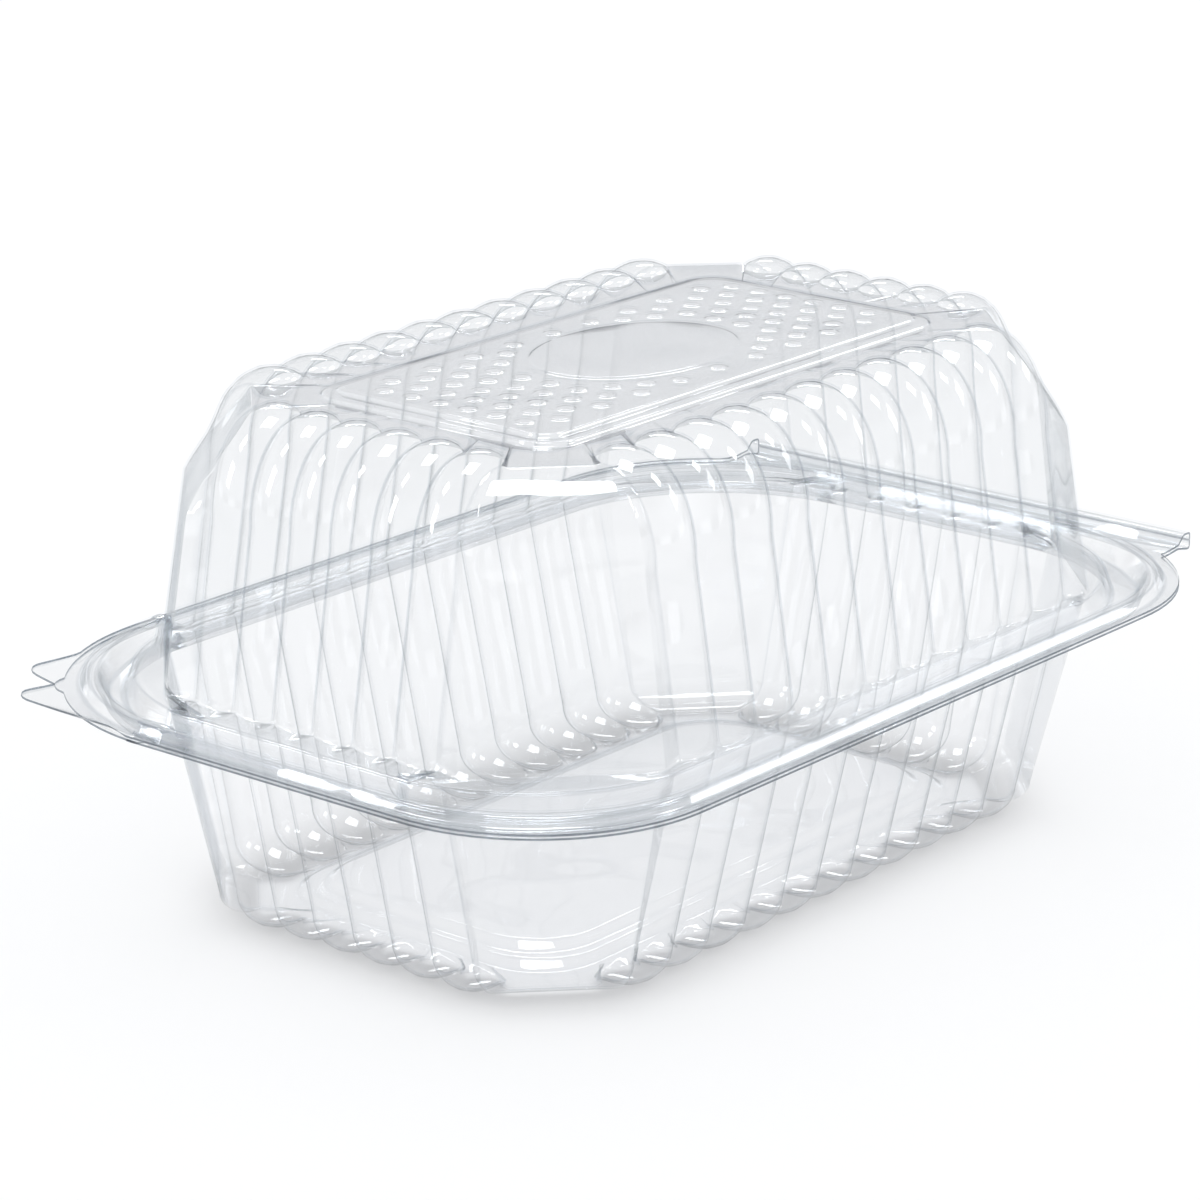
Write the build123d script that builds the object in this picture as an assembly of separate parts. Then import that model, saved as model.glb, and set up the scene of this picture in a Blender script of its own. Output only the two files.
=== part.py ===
"""Clear hinged food container: a fluted tray and a tall fluted dome lid, formed from one thin sheet
and joined along one short side by a folded strip. The lid is closed.

The origin is the centre of the closed pack's outline, on the table. +X runs to the hinge, +Y to the
long side whose far end has the opening tab, and +Z is up. Millimetres.
"""

import os
from math import cos, hypot, radians, sin, sqrt, tan

from build123d import *

# Sheet, and the room between the lid's rim and the tray's rim under it
sheet = 0.4
nest_gap = 0.35

# Flutes of the side walls, the same in tray and lid
long_flutes = 11
short_flutes = 6
long_pitch = 11.2
short_pitch = 9.8
flute_depth = 2.2

# Lead: from the last flute of a row to the edge of the corner facet, wide at the rim
rim_lead = 6.0
wall_lead = 5.0
foot_lead = 3.0
tip_lead = 1.5
lead_bow = 0.75

# Flange: outer edge of the rim, its top face on the lid, and its corners
flange_half_length = 110.5
flange_half_width = 74.0
flange_top = 46.4
plain_corner = 37.0
hinge_corner = 40.0
tab_corner = 48.0
step_corner_limit = 42.0

# Rim profile, as distances in from the flange's edge and heights from the flange's top
ridge_foot_inset = 1.9
ridge_outer_inset = 3.0
ridge_inner_inset = 5.0
ridge_height = 2.0
channel_outer_inset = 6.3
channel_depth = 2.5
step_foot_inset = 9.4
step_inset = 10.6
step_height = 2.3

# Dome: its valley line at the rim, its wall, shoulder, crown and finger tips
dome_half_length = 92.5
dome_half_width = 60.0
dome_draft = 9.5
dome_flare = 0.9
flare_height = 1.6
shoulder_start = 82.0
shoulder_reach = 12.5
dome_top = 102.5
tip_drop = 2.4
tip_reach = 3.0
tip_curl = 1.8

# Raised label panel on the crown, in two steps, with a bare oval on it
panel_half_length = 61.5
panel_half_width = 30.0
panel_corner = 8.0
panel_step = 0.8
panel_border = 3.0
oval_half_length = 24.0
oval_half_width = 17.0
oval_rise = 0.3

# Tray: its valley line at the rim, its wall, foot bulbs and pushed-up floor
tray_margin = 1.0
tray_draft = 13.0
foot_height = 7.0
foot_reach = 7.0
foot_lift = 1.2
floor_inset = 3.0
floor_corner = 14.0
floor_step = 1.6
floor_border = 4.0

# Folded strip between the two flanges, along the short side
hinge_half_width = 56.0
hinge_reach = 4.5
hinge_rise = 2.6
hinge_ramp = 1.7
hinge_slit = 0.3
strip_overlap = 1.5

# Opening tab at one corner of the lid, and the small nub under it on the tray's flange
tab_drop = 14.5
tab_notch = 11.5
tab_shoulder = 4.4
tab_lobe = 5.0
nub_width = 7.0
nub_reach = 1.6

# Room for cutting shapes to reach past what they cut
over = 3.0

# Where the tray's rim lies under the lid's, and the heights that follow
tray_depth = sheet + nest_gap
lid_step_top = flange_top + step_height
tray_step_top = lid_step_top - tray_depth
wall_reach = (shoulder_start - lid_step_top) * tan(radians(dome_draft))
tray_half_length = dome_half_length - tray_margin
tray_half_width = dome_half_width - tray_margin


def offset_path(points, distance):
    """Points of a side profile moved to its right by a distance, with mitred corners."""
    moved = []
    for index, (u, z) in enumerate(points):
        normals = []
        for first in (index - 1, index):
            if 0 <= first < len(points) - 1:
                du = points[first + 1][0] - points[first][0]
                dz = points[first + 1][1] - points[first][1]
                normals.append((dz / hypot(du, dz), -du / hypot(du, dz)))
        nu = sum(n[0] for n in normals)
        nz = sum(n[1] for n in normals)
        scale = distance * len(normals) / (nu * nu + nz * nz)
        moved.append((u + nu * scale, z + nz * scale))
    return moved


def flute_levels(bulge, inset):
    """Where a flute's two ends and its middle stand out from the wall's valley line.

    The inset thins the flute evenly: its arc keeps its centre and changes its radius.
    """
    half = long_pitch / 2
    side = 1 if bulge > 0 else -1
    radius = (half * half + bulge * bulge) / (2 * abs(bulge)) - side * inset
    middle = bulge - inset
    end = middle - side * radius + side * sqrt(radius * radius - half * half)
    return end, middle


def fluted_wire(half_length, half_width, bulge, lead, z, inset):
    """Closed level outline of a fluted wall whose outer valley line has the given half sizes.

    A positive bulge gives flutes that stand out of the wall, a negative one flutes that end in
    finger tips turned to the middle. The four corners are flat facets, each between two valleys
    and a lead away from them.
    """
    end, middle = flute_levels(bulge, inset)
    edge_out = end + (middle - end) * lead_bow
    sides = (
        (long_flutes, long_pitch, half_width, 0),
        (short_flutes, short_pitch, half_length, -90),
    )
    edges = []
    for turn in (0, 180):
        for count, pitch, out, angle in sides:
            place = Rot(0, 0, turn + angle)
            first = -count * pitch / 2
            row = [Line((first - lead, out + edge_out), (first, out + end))]
            for k in range(count):
                left = first + k * pitch
                row.append(
                    ThreePointArc(
                        (left, out + end), (left + pitch / 2, out + middle), (left + pitch, out + end)
                    )
                )
            row.append(Line((-first, out + end), (lead - first, out + edge_out)))
            row = [place * edge for edge in row]
            if edges:
                edges.append(Line(edges[-1] @ 1, row[0] @ 0))
            edges += row
    edges.append(Line(edges[-1] @ 1, edges[0] @ 0))
    return Pos(0, 0, z) * Wire([edge.edge() for edge in edges])


def fluted_body(half_length, half_width, profile, inset=0.0):
    """Solid inside a fluted wall.

    The profile lists (reach, height, bulge, lead) and keeps the outside of the wall on its right.
    The reach is how far the valley line stands out from the given half sizes.
    """
    moved = offset_path([(reach, height) for reach, height, bulge, lead in profile], -inset)
    wires = [
        fluted_wire(half_length + reach, half_width + reach, bulge, lead, z, reach - new_reach)
        for (reach, height, bulge, lead), (new_reach, z) in zip(profile, moved)
    ]
    return Solid.make_loft(wires, True)


def drafted_block(half_length, half_width, radii, z_low, z_high, draft):
    """Block with rounded corners whose walls lean in by the draft from its low face to its high."""
    wires = []
    for z, inset in ((z_low, 0), (z_high, draft)):
        plan = rounded_plan(half_length - inset, half_width - inset, radii)
        wires.append(Pos(0, 0, z) * plan.face().outer_wire())
    return Solid.make_loft(wires, True)


def rounded_plan(half_length, half_width, radii):
    """Rectangle with its own radius at each corner: plain, tab, and the two at the hinge."""
    plan = Rectangle(2 * half_length, 2 * half_width)
    signs = ((-1, -1), (-1, 1), (1, -1), (1, 1))
    for (side_x, side_y), radius in zip(signs, radii):
        corner = plan.vertices().sort_by_distance((side_x * half_length, side_y * half_width))[0]
        plan = fillet(corner, radius)
    return plan


def slide(run, rise):
    """How far a sloped face moves across for each unit that its sheet moves down."""
    return (hypot(run, rise) - run) / rise


def rim_radii(limit):
    """Corner radii of the rim's rounded outlines, none larger than the limit."""
    return [min(radius, limit) for radius in (plain_corner, tab_corner, hinge_corner, hinge_corner)]


def rim_ring(inset, z_low, z_high, draft, limit=tab_corner):
    """Block inside one of the rim's rounded outlines, given its inset from the flange's edge."""
    return drafted_block(
        flange_half_length - inset, flange_half_width - inset, rim_radii(limit), z_low, z_high, draft
    )


def rim_block(plan, depth):
    """Everything under one face of the rim's sheet: flange, ridge, channel and inner step.

    The depth is how far that face lies under the lid's top face. Each sloped face moves across by
    its own share of the depth, so that all layers of the rim keep an even distance.
    """
    flange_z = flange_top - depth
    ridge_z = flange_z + ridge_height
    channel_z = flange_z - channel_depth
    step_z = flange_z + step_height
    outer_run = ridge_outer_inset - ridge_foot_inset
    outer = depth * slide(outer_run, ridge_height + sheet)
    inner_run = channel_outer_inset - ridge_inner_inset
    inner = depth * slide(inner_run, ridge_height + channel_depth)
    step_run = step_inset - step_foot_inset
    step = depth * slide(step_run, step_height + channel_depth + sheet)
    floor_z = flange_top - channel_depth - depth - over
    block = extrude(Pos(0, 0, floor_z) * plan, flange_z - floor_z)
    block += rim_ring(ridge_foot_inset + outer, flange_z - sheet, ridge_z, outer_run)
    block -= rim_ring(channel_outer_inset - inner, channel_z, ridge_z, -inner_run)
    block += rim_ring(
        step_foot_inset + step, channel_z - sheet, step_z, step_run, step_corner_limit
    )
    return block


def rim_sheet(plan, depth):
    """The rim of the lid or of the tray, as one layer of sheet that fills the whole plan."""
    wide = rounded_plan(flange_half_length + over, flange_half_width + over, [over] * 4)
    return rim_block(plan, depth) - rim_block(wide, depth + sheet)


def flange_plan():
    """Outline of both flanges: rounded at the corners, and squared off where the hinge starts."""
    plan = rounded_plan(flange_half_length, flange_half_width, rim_radii(tab_corner))
    return plan + Pos(flange_half_length - hinge_corner, 0) * Rectangle(
        2 * hinge_corner, 2 * hinge_half_width
    )


def tab_plan():
    """Two rounded lobes that fill the tab corner of the lid's flange."""
    left = -flange_half_length
    top = flange_half_width
    points = [
        (left, top - tab_corner),
        (left, top - tab_drop),
        (left + tab_notch, top - tab_drop),
        (left + tab_notch + tab_lobe / 3, top - tab_shoulder),
        (left + tab_corner * 0.72, top - tab_shoulder),
        (left + tab_corner * 0.6, top - tab_corner * 0.6),
    ]
    plan = make_face(Polyline(*points, close=True))
    for point, radius in ((points[1], tab_lobe), (points[2], tab_lobe / 4), (points[3], tab_lobe)):
        plan = fillet(plan.vertices().sort_by_distance(point)[0], radius)
    return plan


def nub_plan():
    """Small blunt nub on the tray's flange, under the notch of the tab."""
    centre = Pos(tab_corner - flange_half_length, flange_half_width - tab_corner)
    nub = Pos(tab_corner, 0) * Ellipse(nub_reach, nub_width / 2)
    return centre * Rot(0, 0, 135) * nub


def strip(points):
    """Folded strip of sheet along Y, from the side profile of its middle line in X and Z."""
    outer = offset_path(points, sheet / 2)
    inner = offset_path(points, -sheet / 2)
    face = make_face(Polyline(*outer, *reversed(inner), close=True))
    return extrude(Plane.XZ * face, hinge_half_width, both=True)


def panel_blocks(low, high_side, grow):
    """The label panel's two steps and its oval, from a low level up, grown or shrunk all round."""
    blocks = []
    for count in (1, 2):
        inset = (count - 1) * panel_border - grow
        blocks.append(
            drafted_block(
                panel_half_length - inset,
                panel_half_width - inset,
                [panel_corner] * 4,
                low,
                high_side + count * panel_step,
                panel_step / 2,
            )
        )
    oval = Ellipse(oval_half_length + grow, oval_half_width + grow)
    blocks.append(extrude(Pos(0, 0, low) * oval, high_side + 2 * panel_step + oval_rise - low))
    return blocks


def dome_profile(foot_z):
    """Side profile of the dome's valley line: flare, wall, shoulder, crown and finger tips."""
    rise = dome_top - shoulder_start
    points = [
        (dome_flare, foot_z, flute_depth * 0.6, rim_lead),
        (0.0, lid_step_top + flare_height, flute_depth, rim_lead),
        (-wall_reach, shoulder_start, flute_depth, wall_lead),
    ]
    for angle, share in ((32, 1.0), (62, 0.8), (90, 0.2)):
        across = wall_reach + shoulder_reach * (1 - cos(radians(angle)))
        height = shoulder_start + rise * sin(radians(angle))
        lead = wall_lead + (tip_lead - wall_lead) * sin(radians(angle)) ** 2
        points.append((-across, height, flute_depth * share, lead))
    tip = wall_reach + shoulder_reach + tip_reach
    points.append((-tip, dome_top - tip_drop, -tip_curl, tip_lead))
    return points


def tray_profile(mouth_z):
    """Side profile of the tray's valley line, from the tips inside the feet up to the flare."""
    lean = tan(radians(tray_draft))
    wall = (tray_step_top - flare_height - foot_height) * lean
    points = [(-wall - foot_reach - tip_reach, foot_lift, -tip_curl, tip_lead)]
    for angle, share in ((90, 0.2), (58, 0.8), (28, 1.0)):
        across = wall + foot_reach * (1 - cos(radians(angle)))
        height = foot_height * (1 - sin(radians(angle)))
        lead = foot_lead + (tip_lead - foot_lead) * sin(radians(angle)) ** 2
        points.append((-across, height, flute_depth * share, lead))
    points.append((-wall, foot_height, flute_depth, foot_lead))
    points.append((0.0, tray_step_top - flare_height, flute_depth, rim_lead))
    points.append((dome_flare, mouth_z, flute_depth * 0.6, rim_lead))
    return points


def build_lid():
    """Domed lid with its rim, opening tab and its half of the hinge strip."""
    crown = dome_top - tip_drop
    outside = dome_profile(lid_step_top - sheet / 2)
    inside = dome_profile(lid_step_top - 2 * sheet)
    outer = fluted_body(dome_half_length, dome_half_width, outside)
    inner = fluted_body(dome_half_length, dome_half_width, inside, sheet)
    for block in panel_blocks(crown - over, crown, 0):
        outer = outer + block
    for block in panel_blocks(crown - over, crown - sheet, -sheet):
        inner = inner + block
    middle_z = flange_top - sheet / 2
    wall_x = flange_half_length + hinge_reach - sheet / 2
    hinge = strip(
        [
            (flange_half_length - strip_overlap, middle_z),
            (flange_half_length, middle_z),
            (flange_half_length + hinge_ramp, middle_z + hinge_rise),
            (wall_x, middle_z + hinge_rise),
            (wall_x, hinge_axis_z() + hinge_slit / 2),
        ]
    )
    plan = flange_plan() + tab_plan()
    return (rim_sheet(plan, 0) + outer + hinge) - inner


def build_tray():
    """Tray with its rim, feet, pushed-up floor and its half of the hinge strip."""
    outside = tray_profile(tray_step_top - sheet / 2)
    inside = tray_profile(tray_step_top + sheet)
    outer = fluted_body(tray_half_length, tray_half_width, outside)
    inner = fluted_body(tray_half_length, tray_half_width, inside, sheet)
    for count in (1, 2):
        inset = floor_inset + (count - 1) * floor_border - outside[0][0] + tip_curl
        size = (tray_half_length - inset, tray_half_width - inset)
        top = foot_lift + count * floor_step
        radii = [floor_corner] * 4
        outer = outer - drafted_block(size[0], size[1], radii, -over, top, floor_step)
        inner = inner - drafted_block(
            size[0] + sheet, size[1] + sheet, radii, -over, top + sheet, floor_step
        )
    middle_z = flange_top - tray_depth - sheet / 2
    wall_x = flange_half_length + hinge_reach - sheet / 2
    hinge = strip(
        [
            (flange_half_length - strip_overlap, middle_z),
            (wall_x, middle_z),
            (wall_x, hinge_axis_z() - hinge_slit / 2),
        ]
    )
    plan = flange_plan() + nub_plan()
    return (rim_sheet(plan, tray_depth) + outer + hinge) - inner


def hinge_axis_z():
    """Height of the fold: half way up the strip's outer wall."""
    return flange_top + (hinge_rise - tray_depth - sheet) / 2


def main():
    """Builds the two pieces about the middle of the rim, centres them and writes each to a file."""
    os.makedirs("parts", exist_ok=True)
    for name, piece in (("lid", build_lid()), ("tray", build_tray())):
        piece = Pos(-hinge_reach / 2, 0, 0) * piece
        export_step(piece, f"parts/{name}.step")
        print(name, piece.is_valid, len(piece.solids()), round(piece.volume), piece.bounding_box())


main()
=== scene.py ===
"""Looks of a clear hinged food container, closed on a pale table.

A fluted tray, a tall fluted dome lid and the folded strip between them are formed from one thin
clear sheet. All sizes are metres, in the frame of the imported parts: the origin is under the middle
of the closed pack, +X runs to the hinge, +Y to the long side with the opening tab, and +Z is up.
"""

import logging
import math
from dataclasses import dataclass, field, replace
from enum import Enum

import bpy
import numpy as np
from mathutils import Matrix, Vector
from mathutils.geometry import delaunay_2d_cdt


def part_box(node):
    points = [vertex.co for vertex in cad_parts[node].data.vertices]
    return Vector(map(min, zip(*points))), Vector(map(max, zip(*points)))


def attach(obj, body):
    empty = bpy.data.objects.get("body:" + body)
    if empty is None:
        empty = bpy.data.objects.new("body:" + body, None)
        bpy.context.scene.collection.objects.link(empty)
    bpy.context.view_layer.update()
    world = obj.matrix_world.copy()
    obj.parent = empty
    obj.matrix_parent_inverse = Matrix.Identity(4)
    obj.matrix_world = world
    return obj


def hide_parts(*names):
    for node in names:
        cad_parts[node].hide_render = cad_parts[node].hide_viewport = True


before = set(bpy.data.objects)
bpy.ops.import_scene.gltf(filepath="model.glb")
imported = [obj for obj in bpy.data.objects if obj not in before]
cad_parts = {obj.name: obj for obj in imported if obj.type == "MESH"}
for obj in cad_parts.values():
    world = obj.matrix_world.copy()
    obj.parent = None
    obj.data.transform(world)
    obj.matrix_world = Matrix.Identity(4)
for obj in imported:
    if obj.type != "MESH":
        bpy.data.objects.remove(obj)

log = logging.getLogger("clear_container")

Points = list[tuple[float, float]]
BentLine = list[tuple[float, float, float]]
Colour = tuple[float, float, float, float]

# Thickness of the sheet, and how far the tray's rim lies under the lid's: one sheet and a gap.
SHEET = 0.0004
NEST = 0.00075

# How far the folded strip stands out from the flange, and how far that moves the pack's middle.
HINGE_REACH = 0.0045
TO_CENTRE = -HINGE_REACH / 2

# Faces that meet at more than this angle are shaded with a crease.
CREASE_ANGLE = math.radians(42)


class Corner(Enum):
    """The four corners of the pack, clockwise from above, starting by the hinge on the far side."""

    FAR_HINGE = 0
    NEAR_HINGE = 1
    PLAIN = 2
    TAB = 3


class Finish(Enum):
    """The finishes of the sheet, in the order of a piece's material slots."""

    # The outer finishes are one clear sheet. Their darker tints are painted shade and their paler tints
    # painted light.
    WALL = 0
    RIM = 1
    CROWN = 2
    PANEL = 3
    TRAY_WALL = 4
    TRAY_RIM = 5
    TRAY_FOOT = 6
    INNER = 7
    CUT_EDGE = 8


def rounded_line(points: Points, radius: float, steps: int = 3, most: float = 0.45) -> BentLine:
    """Rounds the inner corners of a line.

    Args:
        points: Corners of the line.
        radius: How far from each corner its rounding starts.
        steps: Number of stretches in each rounding.
        most: Largest share of a straight stretch that the rounding at one end takes.

    Returns:
        Points as (first, second, bend), where bend is 1 in the middle of a rounding.
    """
    line = [(points[0][0], points[0][1], 0.0)]
    for before, here, after in zip(points, points[1:], points[2:]):
        to_before = np.subtract(before, here)
        to_after = np.subtract(after, here)
        start = np.array(here) + to_before * min(radius / np.linalg.norm(to_before), most)
        stop = np.array(here) + to_after * min(radius / np.linalg.norm(to_after), most)
        for step in range(steps + 1):
            t = step / steps
            place = (1 - t) ** 2 * start + 2 * t * (1 - t) * np.array(here) + t**2 * stop
            line.append((float(place[0]), float(place[1]), 1.0 - abs(2 * t - 1)))
    line.append((points[-1][0], points[-1][1], 0.0))
    return line


def spread(path: Points, count: int, keep: Points | None = None) -> np.ndarray:
    """Spreads points evenly along a path.

    Args:
        path: Corners of the path.
        count: Number of stretches.
        keep: Corners that must stay, each taken by the nearest point.

    Returns:
        Array of count + 1 points.
    """
    corners = np.array(path, float)
    lengths = np.concatenate([[0], np.cumsum(np.hypot(*np.diff(corners, axis=0).T))])
    at = np.linspace(0, lengths[-1], count + 1)
    points = np.column_stack([np.interp(at, lengths, corners[:, i]) for i in (0, 1)])
    for corner in keep or []:
        points[np.argmin(np.hypot(*(points - corner).T))] = corner
    return points


def filleted(points: Points, radii: tuple[float, ...], steps: int = 12) -> Points:
    """Rounds the corners of a plan outline with true arcs.

    Args:
        points: Corners of the outline.
        radii: Radius at each corner but the first and last.
        steps: Number of stretches in each arc.

    Returns:
        The rounded outline.
    """
    outline = [points[0]]
    for before, here, after, radius in zip(points, points[1:], points[2:], radii):
        back = np.subtract(before, here) / np.linalg.norm(np.subtract(before, here))
        on = np.subtract(after, here) / np.linalg.norm(np.subtract(after, here))
        half = math.acos(float(np.clip(back @ on, -1, 1))) / 2
        middle = (back + on) / np.linalg.norm(back + on)
        centre = np.array(here) + middle * radius / math.sin(half)
        turn = math.pi / 2 - half
        start = np.array(here) + back * radius / math.tan(half) - centre
        spin = 1 if back[0] * on[1] - back[1] * on[0] < 0 else -1
        for step in range(steps + 1):
            angle = spin * 2 * turn * step / steps
            cosine, sine = math.cos(angle), math.sin(angle)
            point = centre + (start[0] * cosine - start[1] * sine, start[0] * sine + start[1] * cosine)
            outline.append((float(point[0]), float(point[1])))
    outline.append(points[-1])
    return outline


def arc(centre: tuple[float, float], radius: float, start: float, stop: float, steps: int = 30) -> Points:
    """Points on an arc.

    Args:
        centre: Middle of the arc.
        radius: Its radius.
        start: First angle in degrees.
        stop: Last angle in degrees.
        steps: Number of stretches.

    Returns:
        The points, in order.
    """
    angles = np.radians(np.linspace(start, stop, steps + 1))
    return [(centre[0] + radius * math.cos(a), centre[1] + radius * math.sin(a)) for a in angles]


@dataclass(frozen=True)
class FluteRow:
    """A row of equal rounded flutes along one wall.

    The phases are the places of one flute's points, as shares of the pitch. The two that lie close to the
    valleys keep the folds and their painted shade narrow. The end fold is how dark the painted fold shade
    is at the row's two outer valleys.
    """

    count: int
    pitch: float
    depth: float = 0.0022
    end_fold: float = 0.4
    phases: tuple[float, ...] = (0.0, 0.022, 0.14, 0.3, 0.5, 0.7, 0.86, 0.978)

    def half(self) -> float:
        """Half the length of the row."""
        return self.count * self.pitch / 2

    def along(self) -> np.ndarray:
        """Spreads the row's points along the wall.

        Returns:
            Their places, both ends included.
        """
        starts = np.arange(self.count)[:, None] * self.pitch - self.half()
        inner = (starts + np.array(self.phases)[None, :] * self.pitch).ravel()
        return np.append(inner, self.half())

    def valleys(self) -> np.ndarray:
        """1 at each valley between two flutes, less at the row's ends and 0 elsewhere."""
        one = [1.0] + [0.0] * (len(self.phases) - 1)
        return np.array([self.end_fold, *(one * self.count)[1:], self.end_fold])

    def shape(self) -> np.ndarray:
        """Shapes the flutes as arcs.

        Returns:
            How far each point stands out, from 0 at the valleys to 1 at the crests.
        """
        half = self.pitch / 2
        radius = (half * half + self.depth**2) / (2 * self.depth)
        off = (np.array(self.phases) - 0.5) * self.pitch
        one = (np.sqrt(radius**2 - off**2) - radius + self.depth) / self.depth
        return np.append(np.tile(np.maximum(one, 0.0), self.count), 0.0)


@dataclass(frozen=True)
class Station:
    """One level of a fluted wall.

    The reach is how far the valleys lie outside the wall's mouth in plan, and the height is that of
    the crests. The valleys lie inside the crests by the bulge and under them by the sink, which is
    negative where the crests point down. A curl pulls the crests inwards, as at finger tips. The lead
    is how far past the last flute a corner's flat facet starts, and the facets say how far each one
    lies (outside, above) the flutes.
    """

    reach: float
    height: float
    bulge: float
    lead: float
    sink: float = 0.0
    curl: float = 0.0
    facets: dict[Corner, tuple[float, float]] = field(default_factory=dict)


@dataclass(frozen=True)
class Layout:
    """Spreads the same number of points round every outline, so that outlines join up.

    The steps are the stretches in each corner, with as many as the tab needs in its own. Of these, the
    lead steps at each end lead over from the last flute to the corner's flat facet, which stands out by
    the lead bow, a share of the flutes' bulge.
    """

    long_row: FluteRow = FluteRow(11, 0.0112)
    short_row: FluteRow = FluteRow(6, 0.0098)
    corner_steps: tuple[int, ...] = (24, 24, 24, 56)
    lead_steps: int = 3
    lead_bow: float = 0.75

    def join(
        self,
        half_length: float,
        half_width: float,
        quarters: list[np.ndarray],
        share: tuple[float, float] = (1.0, 1.0),
        station: Station | None = None,
    ) -> np.ndarray:
        """Joins four sides and four corners into one closed outline.

        Args:
            half_length: Half the outline's length, at its valleys.
            half_width: Half its width.
            quarters: Points (x, y, rise) of each corner, drawn in the +X +Y quarter from the
                long side to the short one.
            share: Lengths of the long and short rows here, as shares of the flutes' rows.
            station: How the flutes of the sides stand out, or None for straight sides.

        Returns:
            Array of points (x, y, rise), clockwise from above.
        """
        sides = []
        for row, half, part in (
            (self.long_row, half_width, share[0]),
            (self.short_row, half_length, share[1]),
        ):
            along = row.along() * part
            shape = row.shape() if station else 0 * along
            bulge, sink, curl = (station.bulge, station.sink, station.curl) if station else (0, 0, 0)
            out = half + bulge * shape - curl * np.sqrt(shape)
            sides.append((along, out, -sink * (1 - shape)))
        turns = (
            lambda x, y: (x, y),
            lambda x, y: (y, -x),
            lambda x, y: (-x, -y),
            lambda x, y: (-y, x),
        )
        mirrors = ((1, 1), (1, -1), (-1, -1), (-1, 1))
        pieces = []
        for corner, turn, mirror in zip(Corner, turns, mirrors):
            on_short = corner.value % 2
            along, out, rise = sides[on_short]
            pieces.append(np.column_stack([*turn(along, out), rise]))
            quarter = quarters[corner.value] * (*mirror, 1)
            pieces.append((quarter[::-1] if on_short else quarter)[1:-1])
        return np.vstack(pieces)

    def valley_mask(self) -> np.ndarray:
        """Marks the valleys on a whole outline.

        Returns:
            How dark the painted fold shade is at each point, 1 at the valleys.
        """
        rows = (self.long_row.valleys(), self.short_row.valleys())
        pieces = []
        for index, steps in enumerate(self.corner_steps):
            pieces.append(rows[index % 2])
            pieces.append(np.zeros(steps - 1))
        return np.concatenate(pieces)

    def fluted(self, half_length: float, half_width: float, station: Station) -> np.ndarray:
        """Outline of a fluted wall with flat corner facets.

        Args:
            half_length: Half length of the wall at its mouth.
            half_width: Half its width there.
            station: The level of the wall to draw.

        Returns:
            The outline.
        """
        long_end, short_end = self.long_row.half(), self.short_row.half()
        half_length += station.reach
        half_width += station.reach
        quarters = []
        for corner, steps in zip(Corner, self.corner_steps):
            outside, above = station.facets.get(corner, (0.0, 0.0))
            out = station.bulge * self.lead_bow + outside
            ends = [(long_end, half_width), (long_end + station.lead, half_width + out)]
            ends += [(half_length + out, short_end + station.lead), (half_length, short_end)]
            legs = (self.lead_steps, steps - 2 * self.lead_steps, self.lead_steps)
            parts = [spread(ends[i : i + 2], leg)[:-1] for i, leg in enumerate(legs)]
            plan = np.vstack([*parts, [ends[-1]]])
            ease = np.linspace(0, 1, self.lead_steps + 1)
            level = np.concatenate([ease[:-1], np.ones(legs[1] + 1), ease[-2::-1]])
            quarters.append(np.column_stack([plan, above * level - station.sink * (1 - level)]))
        return self.join(half_length, half_width, quarters, station=station)

    def rounded(
        self,
        half_length: float,
        half_width: float,
        radii: tuple[float, ...],
        fit_sides: bool = False,
    ) -> np.ndarray:
        """Outline of a rounded rectangle.

        Args:
            half_length: Half its length.
            half_width: Half its width.
            radii: Radius of each corner.
            fit_sides: Whether the points of the sides are drawn together to fit a short side.

        Returns:
            The outline.
        """
        long_end, short_end = self.long_row.half(), self.short_row.half()
        share = (1.0, 1.0)
        if fit_sides:
            share = ((half_length - radii[0]) / long_end, (half_width - radii[0]) / short_end)
        ends = ((long_end * share[0], half_width), (half_length, short_end * share[1]))
        quarters = []
        for radius, steps in zip(radii, self.corner_steps):
            centre = (half_length - radius, half_width - radius)
            plan = spread([ends[0], *arc(centre, radius, 90, 0), ends[1]], steps)
            quarters.append(np.column_stack([plan, 0 * plan[:, 0]]))
        return self.join(half_length, half_width, quarters, share)

    def oval(self, half_length: float, half_width: float, like: np.ndarray) -> np.ndarray:
        """Outline of an oval whose points face those of another outline.

        Args:
            half_length: Half its length.
            half_width: Half its width.
            like: The outline to face.

        Returns:
            The outline.
        """
        reach = np.abs(like).max(axis=0)
        angles = np.arctan2(like[:, 1] / reach[1], like[:, 0] / reach[0])
        plan = [half_length * np.cos(angles), half_width * np.sin(angles), 0 * angles]
        return np.column_stack(plan)


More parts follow.
